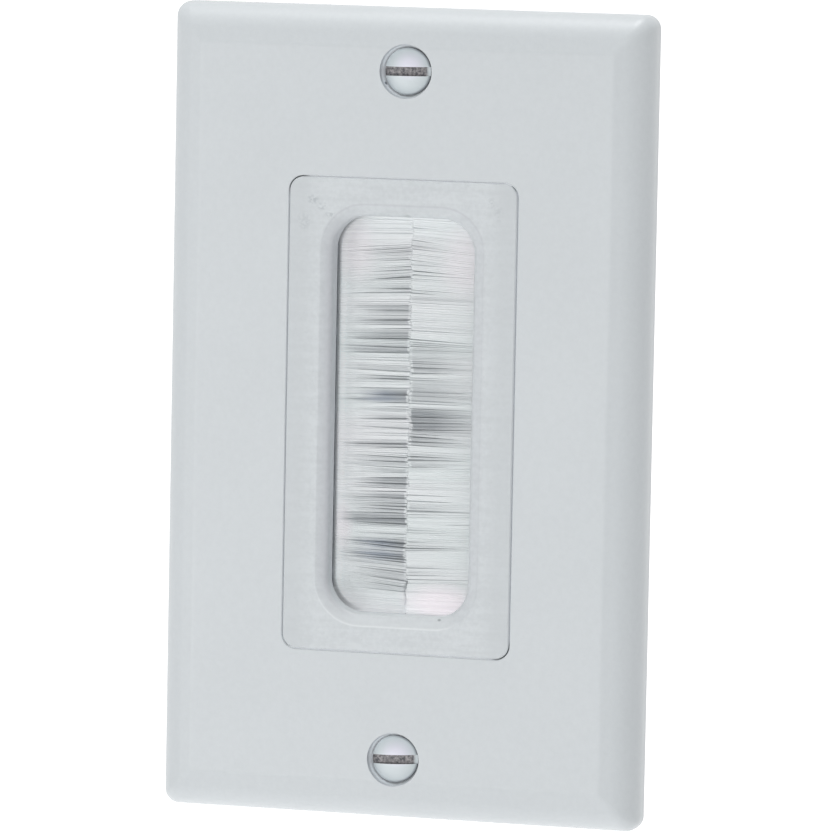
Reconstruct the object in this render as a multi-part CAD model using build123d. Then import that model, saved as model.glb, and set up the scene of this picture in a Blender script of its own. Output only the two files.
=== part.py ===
from build123d import *
import os
from math import cos, radians, sin, tan
from random import Random

# Brush pass-through insert, screwed into its single-gang wall plate.
# Millimetres. X runs to the right, Y into the wall and Z up, with the wall's surface at Y = 0.
# Heights are measured from the wall towards the room, so a height h lies at Y = -h.

# Spacings along the plate, which all hang on the standard spacing of a wall box's screws
mount_spacing = 83.34
strap_hole_inset = 8.4
screw_pitch = 6.75
plate_end_margin = 8.73

# Wall plate: a hollow moulding with a rolled bevel round its edge
plate_width = 69.85
plate_depth = 6.6
plate_wall = 2.2
plate_corner_radius = 2.0
side_bevel_width = 4.95
end_bevel_width = 5.45
bevel_slope = 14.0
crease_radius = 2.0
side_wall_height = 1.8
opening_edge_chamfer = 0.12
collar_wall = 1.5
collar_gap = 0.4

# Screw holes of the plate: a drafted recess, a countersink and a clearance hole
recess_radius = 3.8
recess_depth = 1.4
recess_draft = 0.3
countersink_angle = 82.0
screw_hole_clearance = 0.2
hole_land = 0.3

# Face and body of the insert
face_width = 33.1
face_proud = 0.1
fit_gap = 0.13
face_corner_radius = 1.95
least_corner_radius = 0.3
face_edge_chamfer = 0.15
front_wall = 2.4
body_wall = 1.6
end_band = 5.27
aperture_corner_radius = 4.8
aperture_flare_width = 1.65
aperture_flare_slope = 20.0
aperture_edge_radius = 0.9
lip_wall = 1.2
lip_depth = 2.8

# Strap ears of the insert, and the flange that closes the seam from behind
strap_shoulder = 4.53
strap_thickness = 2.4
flange_width = 1.2
flange_thickness = 1.4
strap_end_margin = 4.6
strap_corner_radius = 4.0
strap_root_land = 0.23
strap_boss_radius = 3.2
strap_slot_length = 6.4
strap_slot_width = 4.2

# Brush channels and what seats them
channel_seat_depth = 4.5
channel_width = 3.4
channel_depth = 4.22
channel_sheet = 0.5
channel_back_radius = 0.9
channel_overlap = 0.5
mouth_setback = 0.35
side_clearance = 0.13
seat_rib_count = 5
seat_rib_thickness = 1.2

# Filaments folded round a core wire and crimped in the channel
core_wire_radius = 0.5
fold_thickness = 0.55
wire_clearance = 0.02
neck_length = 0.6
bristle_end_gap = 0.1
layer_count = 2
layer_gap = 0.12
layer_splay = 2.0
tuft_pitch = 1.1
tip_clearance = 0.06
tip_unevenness = 0.45
least_tip_gap = 0.08
left_tip_gap = 0.72
right_tip_gap = 0.46
gap_start_spread = 3.5

# Rear retainer and the screws that clamp it
retainer_thickness = 2.0
retainer_inset = 0.3
retainer_edge_chamfer = 0.5
boss_radius = 1.9
boss_gap = 0.3
clamp_screw_radius = 1.1
clamp_hole_clearance = 0.15
clamp_thread_clearance = 0.02
clamp_screw_length = 6.5
clamp_head_radius = 2.0
clamp_head_height = 1.5
clamp_head_bevel = 0.6
clamp_recess_length = 2.3
clamp_recess_width = 0.6
clamp_recess_depth = 0.8

# Plate screws and mounting screws share one thread size
thread_radius = 1.75
thread_clearance = 0.05
slot_overrun = 1.0
plate_screw_length = 12.7
plate_head_gap = 0.17
plate_head_rim = 0.3
plate_head_crown = 0.85
plate_head_seat_gap = 0.02
plate_slot_width = 1.25
plate_slot_depth = 0.95
mount_screw_length = 19.0
mount_head_gap = 0.15
mount_head_room = 0.2
mount_slot_width = 1.1
mount_slot_depth = 0.9
neck_radius = 1.45
neck_slack = 0.6

# Fibre washers that keep the mounting screws in the strap
washer_side_gap = 0.8
washer_thickness = 0.8
washer_clearance = 0.05

# Sizes worked out from those above
face_height = mount_spacing - 2 * strap_hole_inset
plate_screw_spacing = mount_spacing + 2 * screw_pitch
plate_height = plate_screw_spacing + 2 * plate_end_margin
ceiling = plate_depth - plate_wall
opening_width = face_width + 2 * fit_gap
opening_height = face_height + 2 * fit_gap
opening_corner_radius = face_corner_radius + fit_gap
screw_hole_radius = thread_radius + screw_hole_clearance
countersink_radius = recess_radius - recess_draft
plate_head_radius = countersink_radius - plate_head_gap
countersink_slope = tan(radians(countersink_angle / 2))
countersink_depth = (countersink_radius - screw_hole_radius) / countersink_slope
countersink_bottom = plate_depth - recess_depth - countersink_depth
plate_seat = max(strap_thickness, min(ceiling, countersink_bottom - hole_land))

face_level = plate_depth + face_proud
side_band = mouth_setback + channel_depth + side_clearance + body_wall
aperture_width = face_width - 2 * side_band
aperture_height = face_height - 2 * end_band
aperture_flare_depth = aperture_flare_width * tan(radians(aperture_flare_slope))
front_wall_back = face_level - front_wall
lip_back = face_level - lip_depth
channel_seat = face_level - channel_seat_depth
body_back = channel_seat - channel_width
retainer_back = body_back - retainer_thickness
strap_length = plate_screw_spacing + 2 * strap_end_margin
strap_width = face_width - 2 * strap_shoulder
strap_root_radius = strap_shoulder - face_corner_radius - strap_root_land

lip_edge = aperture_width / 2 + lip_wall
channel_mouth = aperture_width / 2 + mouth_setback
channel_back = channel_mouth + channel_depth
channel_length = aperture_height + 2 * channel_overlap
brush_middle = channel_seat - channel_width / 2
bundle_thickness = channel_width - 2 * channel_sheet
bundle_back = channel_back - channel_sheet
wire_place = bundle_back - fold_thickness - core_wire_radius
bristle_length = channel_length - 2 * bristle_end_gap
boss_x = (lip_edge + face_width / 2 - body_wall) / 2
boss_z = channel_length / 2 + boss_gap + boss_radius
mount_head_radius = screw_pitch - strap_boss_radius - mount_head_gap
mount_head_height = ceiling - strap_thickness - mount_head_room
washer_radius = screw_pitch - thread_radius - washer_side_gap

# Local X and Y of these planes are a distance along the wall and a height from it
section_across = Plane(origin=(0, 0, 0), x_dir=(1, 0, 0), z_dir=(0, 0, -1))
section_along = Plane(origin=(0, 0, 0), x_dir=(0, 0, 1), z_dir=(1, 0, 0))


def slab(outline, low, high):
    # An outline seen from the room, given thickness between two heights
    return extrude(Plane.XZ.offset(low) * outline, high - low)


def turned(outline):
    # A half section of radius and height, revolved about the Y axis
    return revolve(section_across * make_face(outline), Axis.Y)


def face_outline(inset=0):
    # Outline of the insert's face, seen from the room
    radius = max(face_corner_radius - inset, least_corner_radius)
    return RectangleRounded(face_width - 2 * inset, face_height - 2 * inset, radius)


def aperture_outline(margin=0):
    # Outline of the cable aperture, seen from the room
    radius = aperture_corner_radius + margin
    return RectangleRounded(aperture_width + 2 * margin, aperture_height + 2 * margin, radius)


def front_edges(part, level, half_width, half_height):
    # Edges at one height that lie within a rectangle seen from the room
    margin = 0.01
    return part.edges().filter_by(
        lambda edge: abs(edge.center().Y + level) < margin
        and edge.bounding_box().size.Y < margin
        and abs(edge.center().X) < half_width + margin
        and abs(edge.center().Z) < half_height + margin
    )


def bevelled_section(span, depth, bevel):
    # Upright side, roll tangent to it, sloping bevel, crease and flat face
    slope = radians(bevel_slope)
    rise = depth - side_wall_height - bevel * tan(slope)
    roll_radius = rise * cos(slope) / (1 - sin(slope))
    edge = span / 2
    roll_start = (edge, side_wall_height)
    roll_end = (edge - roll_radius * (1 - sin(slope)), side_wall_height + roll_radius * cos(slope))
    crease = (edge - bevel, depth)
    half = Curve() + [
        Line((edge, 0), roll_start),
        TangentArc(roll_start, roll_end, tangent=(0, 1)),
        Line(roll_end, crease),
        Line(crease, (0, depth)),
    ]
    return make_face(half + mirror(half, Plane.YZ) + Line((-edge, 0), (edge, 0)))


def bevelled_block(width, height, depth, side_bevel, end_bevel):
    # Two sections run across each other, so that the bevels meet in mitres
    across = extrude(section_across * bevelled_section(width, depth, side_bevel), height / 2, both=True)
    along = extrude(section_along * bevelled_section(height, depth, end_bevel), width / 2, both=True)
    return across & along


def corner_edges(block):
    # Upright corners and mitres of the plate, which lie on the bevels of two sides at once
    return block.edges().filter_by(
        lambda edge: abs(edge.center().X) > plate_width / 2 - side_bevel_width
        and abs(edge.center().Z) > plate_height / 2 - end_bevel_width
    )


def plate_screw_hole():
    # Cut for one plate screw, from the face through to the wall side
    recess_floor = plate_depth - recess_depth
    outline = Polyline(
        (0, 0),
        (screw_hole_radius, 0),
        (screw_hole_radius, countersink_bottom),
        (countersink_radius, recess_floor),
        (recess_radius, plate_depth),
        (0, plate_depth),
        close=True,
    )
    return turned(outline)


def make_wall_plate():
    shell = bevelled_block(plate_width, plate_height, plate_depth, side_bevel_width, end_bevel_width)
    shell = fillet(corner_edges(shell), plate_corner_radius)
    shell = fillet(front_edges(shell, plate_depth, plate_width / 2, plate_height / 2), crease_radius)
    bevel_inset = plate_wall - plate_wall * tan(radians(bevel_slope / 2))
    hollow = bevelled_block(
        plate_width - 2 * plate_wall,
        plate_height - 2 * plate_wall,
        ceiling,
        side_bevel_width - bevel_inset,
        end_bevel_width - bevel_inset,
    )
    plate = shell - hollow
    wall_middle = plate_depth - plate_wall / 2
    collar_outline = RectangleRounded(
        opening_width + 2 * collar_wall,
        opening_height + 2 * collar_wall,
        opening_corner_radius + collar_wall,
    )
    plate += slab(collar_outline, strap_thickness + collar_gap, wall_middle)
    for z in (-plate_screw_spacing / 2, plate_screw_spacing / 2):
        plate += Pos(0, 0, z) * slab(Circle(strap_boss_radius), plate_seat, wall_middle)
        plate -= Pos(0, 0, z) * plate_screw_hole()
    plate -= slab(RectangleRounded(opening_width, opening_height, opening_corner_radius), 0, plate_depth)
    rim = front_edges(plate, plate_depth, opening_width / 2, opening_height / 2)
    return chamfer(rim, opening_edge_chamfer)


def strap_ears():
    # Two ears that run out of the ends of the body, flared where they join it, and a flange round it
    outline = RectangleRounded(strap_width, strap_length, strap_corner_radius) + face_outline()
    roots = outline.vertices().filter_by(
        lambda vertex: abs(abs(vertex.X) - strap_width / 2) < 0.01
        and abs(abs(vertex.Y) - face_height / 2) < 0.01
    )
    ears = slab(fillet(roots, strap_root_radius) - face_outline(), 0, strap_thickness)
    flange = face_outline(-flange_width) - face_outline()
    ears += slab(flange, strap_thickness - flange_thickness, strap_thickness)
    for z in (-plate_screw_spacing / 2, plate_screw_spacing / 2):
        ears += Pos(0, 0, z) * slab(Circle(strap_boss_radius), 0, plate_seat)
        ears -= Pos(0, 0, z) * slab(Circle(thread_radius + thread_clearance), 0, plate_seat)
    for z in (-mount_spacing / 2, mount_spacing / 2):
        ears -= Pos(0, 0, z) * slab(SlotOverall(strap_slot_length, strap_slot_width), 0, strap_thickness)
    return ears


def corner_places():
    return [(side * boss_x, end * boss_z) for end in (1, -1) for side in (-1, 1)]


def make_insert_frame():
    wall_middle = face_level - front_wall / 2
    body = slab(face_outline(), body_back, face_level)
    body -= slab(face_outline(body_wall), body_back, front_wall_back)
    body += slab(aperture_outline(lip_wall), lip_back, wall_middle)
    pocket_edge = face_width / 2 - body_wall / 2
    rib = Rectangle(pocket_edge - lip_edge + lip_wall / 2, seat_rib_thickness)
    rib_x = (pocket_edge + lip_edge - lip_wall / 2) / 2
    rib_spacing = channel_length / seat_rib_count
    for index in range(seat_rib_count):
        rib_z = (index - (seat_rib_count - 1) / 2) * rib_spacing
        for side in (-1, 1):
            body += slab(Pos(side * rib_x, rib_z) * rib, channel_seat, wall_middle)
    for place in corner_places():
        body += slab(Pos(*place) * Circle(boss_radius), body_back, wall_middle)
    body -= slab(aperture_outline(), body_back, face_level)
    flare_bottom = face_level - aperture_flare_depth
    body -= loft(
        [
            Plane.XZ.offset(flare_bottom) * aperture_outline(),
            Plane.XZ.offset(face_level) * aperture_outline(aperture_flare_width),
        ],
        ruled=True,
    )
    mouth = front_edges(body, flare_bottom, aperture_width / 2, aperture_height / 2)
    body = fillet(mouth, aperture_edge_radius)
    outer_rim = front_edges(body, face_level, face_width / 2, face_height / 2).filter_by(
        lambda edge: abs(edge.center().X) > face_width / 2 - face_corner_radius
        or abs(edge.center().Z) > face_height / 2 - face_corner_radius
    )
    body = chamfer(outer_rim, face_edge_chamfer)
    pilot = Circle(clamp_screw_radius + clamp_thread_clearance)
    for place in corner_places():
        body -= slab(Pos(*place) * pilot, body_back, front_wall_back)
    return body + strap_ears()


def make_rear_retainer():
    retainer = slab(face_outline(retainer_inset), retainer_back, body_back)
    retainer = chamfer(retainer.faces().sort_by(Axis.Y)[-1].edges(), retainer_edge_chamfer)
    retainer -= slab(aperture_outline(), retainer_back, body_back)
    mouth = front_edges(retainer, retainer_back, aperture_width / 2, aperture_height / 2)
    retainer = chamfer(mouth, retainer_edge_chamfer)
    hole = Circle(clamp_screw_radius + clamp_hole_clearance)
    for place in corner_places():
        retainer -= slab(Pos(*place) * hole, retainer_back, body_back)
    return retainer


def channel_inside(mouth):
    # Section of the space in the channel, from its back to a place at or in front of its mouth
    space = Rectangle(bundle_back - mouth, bundle_thickness)
    outline = Pos((mouth + bundle_back) / 2, brush_middle) * space
    return fillet(outline.vertices().group_by(Axis.X)[-1], channel_back_radius - channel_sheet)


def run_along_brush(section, length):
    return extrude(section_across * section, length / 2, both=True)


def make_channel():
    # Folded sheet channel of the right brush, open towards the middle
    outside = Pos(channel_mouth + channel_depth / 2, brush_middle) * Rectangle(channel_depth, channel_width)
    outside = fillet(outside.vertices().group_by(Axis.X)[-1], channel_back_radius)
    return run_along_brush(outside - channel_inside(channel_mouth), channel_length)


def make_core_wire():
    return run_along_brush(Pos(wire_place, brush_middle) * Circle(core_wire_radius), channel_length)


def tuft_layer(low, high, tip_gap, draw):
    # One layer of tufts of the right brush, parted by gaps that open towards the tips
    tuft_count = round(bristle_length / tuft_pitch)
    pitch = bristle_length / tuft_count
    root = channel_mouth - neck_length / 2
    end = bristle_length / 2
    points = [(root, -end)]
    gap_below = 0
    for index in range(tuft_count):
        bottom = index * pitch - end
        top = bottom + pitch
        last = index == tuft_count - 1
        # Most gaps are fine and a few are wide, as shares of the pitch
        gap_above = 0 if last else least_tip_gap + (tip_gap - least_tip_gap) * draw.random() ** 2
        tip = tip_clearance + tip_unevenness * draw.random()
        points.append((tip, bottom + gap_below / 2 * pitch))
        points.append((tip, top - gap_above / 2 * pitch))
        if not last:
            points.append((channel_mouth - neck_length - gap_start_spread * draw.random(), top))
        gap_below = gap_above
    points.append((root, end))
    return slab(make_face(Polyline(*points, close=True)), low, high)


def make_bristles(tip_gap, seed):
    # Bundle of the right brush: folded root in the channel, then layers of tufts that splay apart
    neck_end = channel_mouth - neck_length
    fold = Pos(wire_place, brush_middle) * Circle(core_wire_radius + wire_clearance)
    bristles = run_along_brush(channel_inside(neck_end) - fold, bristle_length)
    draw = Random(seed)
    layer_thickness = (bundle_thickness - (layer_count - 1) * layer_gap) / layer_count
    for layer in range(layer_count):
        low = brush_middle - bundle_thickness / 2 + layer * (layer_thickness + layer_gap)
        high = low + layer_thickness
        turn = (layer - (layer_count - 1) / 2) * layer_splay
        pivot = Axis((neck_end, -(low + high) / 2, 0), (0, 0, 1))
        bristles += tuft_layer(low, high, tip_gap, draw).rotate(pivot, turn)
    return bristles


def make_plate_screw():
    # Slotted oval head with an upright rim, seated in the plate's countersink
    rim = plate_depth - recess_depth - plate_head_gap / countersink_slope + plate_head_seat_gap
    shank_top = rim - (plate_head_radius - thread_radius) / countersink_slope
    tip = rim - plate_screw_length
    crown_edge = (plate_head_radius, rim + plate_head_rim)
    crown_top = (0, rim + plate_head_rim + plate_head_crown)
    outline = Curve() + [
        Polyline(
            crown_top,
            (0, tip),
            (thread_radius, tip),
            (thread_radius, shank_top),
            (plate_head_radius, rim),
            crown_edge,
        ),
        TangentArc(crown_top, crown_edge, tangent=(1, 0)),
    ]
    slot = Rectangle(2 * plate_head_radius + slot_overrun, plate_slot_width)
    return turned(outline) - slab(slot, crown_top[1] - plate_slot_depth, crown_top[1])


def make_mounting_screw():
    # Slotted low head on the strap, a slim neck in the slot and washer, then the thread
    thread_start = -(washer_thickness + neck_slack)
    tip = strap_thickness - mount_screw_length
    head_top = strap_thickness + mount_head_height
    outline = Polyline(
        (0, head_top),
        (0, tip),
        (thread_radius, tip),
        (thread_radius, thread_start),
        (neck_radius, thread_start),
        (neck_radius, strap_thickness),
        (mount_head_radius, strap_thickness),
        (mount_head_radius, head_top),
        close=True,
    )
    slot = Rectangle(2 * mount_head_radius + slot_overrun, mount_slot_width)
    return turned(outline) - slab(slot, head_top - mount_slot_depth, head_top)


def make_screw_washer():
    ring = Circle(washer_radius) - Circle(neck_radius + washer_clearance)
    return slab(ring, -washer_thickness, 0)


def make_clamp_screw():
    # Cross-recessed pan head on the back of the retainer, pointing towards the room
    tip = retainer_back + clamp_screw_length
    head_back = retainer_back - clamp_head_height
    outline = Polyline(
        (0, head_back),
        (0, tip),
        (clamp_screw_radius, tip),
        (clamp_screw_radius, retainer_back),
        (clamp_head_radius, retainer_back),
        (clamp_head_radius, head_back + clamp_head_bevel),
        (clamp_head_radius - clamp_head_bevel, head_back),
        close=True,
    )
    cross = Rectangle(clamp_recess_length, clamp_recess_width)
    cross += Rectangle(clamp_recess_width, clamp_recess_length)
    return turned(outline) - slab(cross, head_back, head_back + clamp_recess_depth)


nodes = {
    "wall_plate": make_wall_plate(),
    "insert_frame": make_insert_frame(),
    "rear_retainer": make_rear_retainer(),
}

# The left brush is the right one turned over the middle, with its own run of gaps
nodes["right_brush_channel"] = make_channel()
nodes["right_core_wire"] = make_core_wire()
nodes["right_bristles"] = make_bristles(right_tip_gap, seed=1)
nodes["left_brush_channel"] = mirror(make_channel(), Plane.YZ)
nodes["left_core_wire"] = mirror(make_core_wire(), Plane.YZ)
nodes["left_bristles"] = mirror(make_bristles(left_tip_gap, seed=2), Plane.YZ)

for end, sign in (("upper", 1), ("lower", -1)):
    nodes[f"{end}_plate_screw"] = Pos(0, 0, sign * plate_screw_spacing / 2) * make_plate_screw()
    nodes[f"{end}_mounting_screw"] = Pos(0, 0, sign * mount_spacing / 2) * make_mounting_screw()
    nodes[f"{end}_screw_washer"] = Pos(0, 0, sign * mount_spacing / 2) * make_screw_washer()

corner_names = ("upper_left", "upper_right", "lower_left", "lower_right")
for corner, (x, z) in zip(corner_names, corner_places()):
    nodes[f"{corner}_clamp_screw"] = Pos(x, 0, z) * make_clamp_screw()

os.makedirs("parts", exist_ok=True)
for name, shape in nodes.items():
    export_step(shape, f"parts/{name}.step")
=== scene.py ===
import bpy
import math
from bisect import bisect_right
from random import Random
from mathutils import Matrix, Vector


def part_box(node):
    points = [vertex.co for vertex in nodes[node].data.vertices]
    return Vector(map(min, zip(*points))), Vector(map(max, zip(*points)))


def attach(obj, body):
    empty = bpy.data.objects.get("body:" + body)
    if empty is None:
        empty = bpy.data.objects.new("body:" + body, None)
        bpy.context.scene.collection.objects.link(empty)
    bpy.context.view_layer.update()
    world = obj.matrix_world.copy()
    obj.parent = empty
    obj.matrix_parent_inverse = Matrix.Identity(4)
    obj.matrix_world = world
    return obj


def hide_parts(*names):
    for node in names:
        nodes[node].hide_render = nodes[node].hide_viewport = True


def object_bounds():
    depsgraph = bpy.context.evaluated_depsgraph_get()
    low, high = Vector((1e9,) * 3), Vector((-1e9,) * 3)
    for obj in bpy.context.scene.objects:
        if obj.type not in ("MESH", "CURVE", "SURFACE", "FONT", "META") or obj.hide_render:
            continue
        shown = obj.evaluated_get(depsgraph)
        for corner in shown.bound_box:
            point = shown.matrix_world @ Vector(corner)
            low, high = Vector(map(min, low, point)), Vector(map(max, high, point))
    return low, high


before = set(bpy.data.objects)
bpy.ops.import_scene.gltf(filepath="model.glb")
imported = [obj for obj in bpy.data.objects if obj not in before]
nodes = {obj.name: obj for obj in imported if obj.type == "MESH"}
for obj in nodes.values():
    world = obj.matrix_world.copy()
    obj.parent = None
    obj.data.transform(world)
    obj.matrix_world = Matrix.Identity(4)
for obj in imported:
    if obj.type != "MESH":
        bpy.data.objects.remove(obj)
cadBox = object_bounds()
mm = 0.001
print("frame loaded with", len(nodes), "nodes")


# Camera, fitted to the plate's outline, the insert's seam and the screw centres. Degrees and mm.
cameraSetup = {
    "azimuth": 16.45,
    "elevation": 5.83,
    "roll": 1.083,
    "target": (0.44, 0.0, -0.31),
    "distance": 1039.5,
    "lens": 319.9,
    "sensor": 36.0,
    "clipStart": 10.0,
}


def addCamera():
    azimuth = math.radians(cameraSetup["azimuth"])
    elevation = math.radians(cameraSetup["elevation"])
    roll = math.radians(cameraSetup["roll"])
    flat = math.cos(elevation)
    back = Vector((math.sin(azimuth) * flat, -math.cos(azimuth) * flat, math.sin(elevation)))
    right = Vector((0, 0, 1)).cross(back).normalized()
    up = back.cross(right)
    rolledRight = math.cos(roll) * right + math.sin(roll) * up
    rolledUp = math.cos(roll) * up - math.sin(roll) * right
    place = (Vector(cameraSetup["target"]) + back * cameraSetup["distance"]) * mm
    bpy.ops.object.camera_add()
    camera = bpy.context.object
    turn = Matrix((rolledRight, rolledUp, back)).transposed()
    camera.matrix_world = Matrix.Translation(place) @ turn.to_4x4()
    camera.data.sensor_width = cameraSetup["sensor"]
    camera.data.lens = cameraSetup["lens"]
    camera.data.clip_start = cameraSetup["clipStart"] * mm
    bpy.context.scene.camera = camera


addCamera()
bpy.context.scene.view_settings.view_transform = "Standard"
print("camera placed")


# Shader maths: wraps a socket, so that plain expressions add the nodes
class Shade:
    def __init__(self, tree, socket=None):
        self.tree = tree
        self.socket = socket

    def node(self, kind, settings=None, sockets=None, output=0):
        made = self.tree.nodes.new(kind)
        for key, value in (settings or {}).items():
            if key == "stops":
                self.setStops(made.color_ramp, value)
            else:
                setattr(made, key, value)
        for key, value in (sockets or {}).items():
            if isinstance(value, Shade):
                self.tree.links.new(value.socket, made.inputs[key])
            else:
                made.inputs[key].default_value = value
        return Shade(self.tree, made.outputs[output]) if made.outputs else made

    def setStops(self, ramp, stops):
        while len(ramp.elements) < len(stops):
            ramp.elements.new(0.5)
        for element, (place, level) in zip(ramp.elements, stops):
            element.position = place
            element.color = (level, level, level, 1)

    def maths(self, operation, first, second=0.0):
        return self.node("ShaderNodeMath", {"operation": operation}, {0: first, 1: second})

    def __add__(self, other):
        return self.maths("ADD", self, other)

    def __radd__(self, other):
        return self.maths("ADD", other, self)

    def __sub__(self, other):
        return self.maths("SUBTRACT", self, other)

    def __rsub__(self, other):
        return self.maths("SUBTRACT", other, self)

    def __mul__(self, other):
        return self.maths("MULTIPLY", self, other)

    def __rmul__(self, other):
        return self.maths("MULTIPLY", other, self)

    def __truediv__(self, other):
        return self.maths("DIVIDE", self, other)

    def __rtruediv__(self, other):
        return self.maths("DIVIDE", other, self)

    def __lt__(self, other):
        return self.maths("LESS_THAN", self, other)

    def __gt__(self, other):
        return self.maths("GREATER_THAN", self, other)

    def __abs__(self):
        return self.maths("ABSOLUTE", self)

    def ramp(self, *stops):
        return self.node("ShaderNodeValToRGB", {"stops": stops}, {"Fac": self})

    def place(self):
        # Object coordinates in mm
        where = self.node("ShaderNodeTexCoord", output="Object")
        return self.node("ShaderNodeVectorMath", {"operation": "SCALE"}, {0: where, "Scale": 1 / mm})

    def axis(self, where, letter):
        return self.node("ShaderNodeSeparateXYZ", None, {"Vector": where}, letter)

    def stretched(self, where, scale):
        return self.node("ShaderNodeMapping", None, {"Vector": where, "Scale": scale})

    def noise(self, where, scale, detail=3.0, roughness=0.55):
        sockets = {"Vector": where, "Scale": scale, "Detail": detail, "Roughness": roughness}
        return self.node("ShaderNodeTexNoise", None, sockets, "Fac")

    def spot(self, where, middle, reach):
        # 1 in the middle of an oval area, fading to 0 at its edge
        away = self.node("ShaderNodeVectorMath", {"operation": "SUBTRACT"}, {0: where, 1: middle})
        shares = tuple(1 / length for length in reach)
        scaled = self.node("ShaderNodeVectorMath", {"operation": "MULTIPLY"}, {0: away, 1: shares})
        far = self.node("ShaderNodeVectorMath", {"operation": "LENGTH"}, {0: scaled}, "Value")
        return far.ramp((0.35, 1), (1, 0))

    def spots(self, where, areas):
        total = None
        for middle, reach, strength in areas:
            mask = self.spot(where, middle, reach) * strength
            total = mask if total is None else self.maths("MAXIMUM", total, mask)
        return total

    def mix(self, factor, first, second):
        settings = {"data_type": "RGBA"}
        return self.node("ShaderNodeMix", settings, {0: factor, 6: first, 7: second}, 2)

    def bump(self, height, strength, distance):
        sockets = {"Height": height, "Strength": strength, "Distance": distance}
        return self.node("ShaderNodeBump", None, sockets)


def pickOnly(piece):
    bpy.ops.object.select_all(action="DESELECT")
    piece.select_set(True)
    bpy.context.view_layer.objects.active = piece


def closeEnds(corners):
    # Fills the open ends of the active piece's tubes
    bpy.ops.object.mode_set(mode="EDIT")
    bpy.ops.mesh.select_mode(type="EDGE")
    bpy.ops.mesh.select_all(action="DESELECT")
    bpy.ops.mesh.select_non_manifold()
    bpy.ops.mesh.fill_holes(sides=corners)
    bpy.ops.mesh.select_all(action="SELECT")
    bpy.ops.mesh.normals_make_consistent(inside=False)
    bpy.ops.object.mode_set(mode="OBJECT")


def newMaterial(name):
    material = bpy.data.materials.new(name)
    material.use_nodes = True
    material.node_tree.nodes.clear()
    return material, Shade(material.node_tree)


def finishMaterial(shade, sockets):
    surface = shade.node("ShaderNodeBsdfPrincipled", None, sockets)
    shade.node("ShaderNodeOutputMaterial", None, {"Surface": surface})


def rgb(red, green, blue):
    # Colour as seen on a screen, 0 to 255, as a linear colour
    def linear(level):
        share = level / 255
        return share / 12.92 if share <= 0.04045 else ((share + 0.055) / 1.055) ** 2.4

    return (linear(red), linear(green), linear(blue), 1)


black = (0, 0, 0, 1)


# Wall plate: cool white, satin, with a fine mottled grain. Places and lengths in mm, Y is depth.
plateLook = {
    "light": rgb(206, 211, 214),
    "dark": rgb(202, 207, 210),
    "grainScale": 1.3,
    "fineScale": 5.0,
    "cloudScale": 0.06,
    "grainDepth": 0.06 * mm,
    "roughness": 0.36,
    "faceAt": -6.6,
    # Painted light in the countersinks' left walls and painted shade along their edges
    "sinkPaintedLight": rgb(241, 246, 251),
    "sinkRadius": 3.85,
    "sinkAt": -6.5,
    "sinkDepth": 0.9,
    "sinkEdgePaintedShade": rgb(162, 168, 176),
    "sinkEdgeDepth": 0.7,
    "sinkShadeFrom": 1.0,
    "sinkShadeReach": 3.0,
    "speck": rgb(84, 90, 104),
    "speckAt": ((-3.15, -5.6, 46.67), (0.4, 0.4, 0.3)),
    # Painted light, painted glow and painted shade in the insert's seam
    "seamSidesPaintedLight": rgb(222, 226, 230),
    "seamEndsPaintedLight": rgb(243, 245, 247),
    "seamPaintedShade": rgb(110, 114, 118),
    "seamPaintedGlow": {"top": 0.12, "bottom": 0.115, "left": 0.045, "right": 0.075},
    "seamAt": -5.7,
    "seamReach": 0.8,
    "seamEndsFrom": 32.9,
    "openingHalf": (17.2, 34.0),
    "paintedShadeCorners": (
        ((-15.7, -6.0, 32.5), (2.2, 4, 2.2), 1.0),
        ((15.7, -6.0, -32.5), (2.0, 4, 2.0), 1.0),
    ),
}


def besideSeam(shade, where):
    # 1 at the depth where the walls of the insert's seam show
    return abs(shade.axis(where, "Y") - plateLook["seamAt"]) < plateLook["seamReach"]


def seamTone(shade, where):
    # Colour beside the insert's seam, lightened as painted light, and a painted glow that stands in for
    # the light its thin edges carry, less at two of the corners, which get painted shade
    light = plateLook["seamPaintedGlow"]
    dark = shade.spots(where, plateLook["paintedShadeCorners"])
    atEnds = abs(shade.axis(where, "Z")) > plateLook["seamEndsFrom"]
    above = shade.axis(where, "Z") > 0
    rightward = shade.axis(where, "X") > 0
    ends = light["bottom"] + above * (light["top"] - light["bottom"])
    sides = light["left"] + rightward * (light["right"] - light["left"])
    level = (sides + atEnds * (ends - sides)) * (1 - dark)
    tone = shade.mix(atEnds, plateLook["seamSidesPaintedLight"], plateLook["seamEndsPaintedLight"])
    return shade.mix(dark, tone, plateLook["seamPaintedShade"]), level


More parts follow.
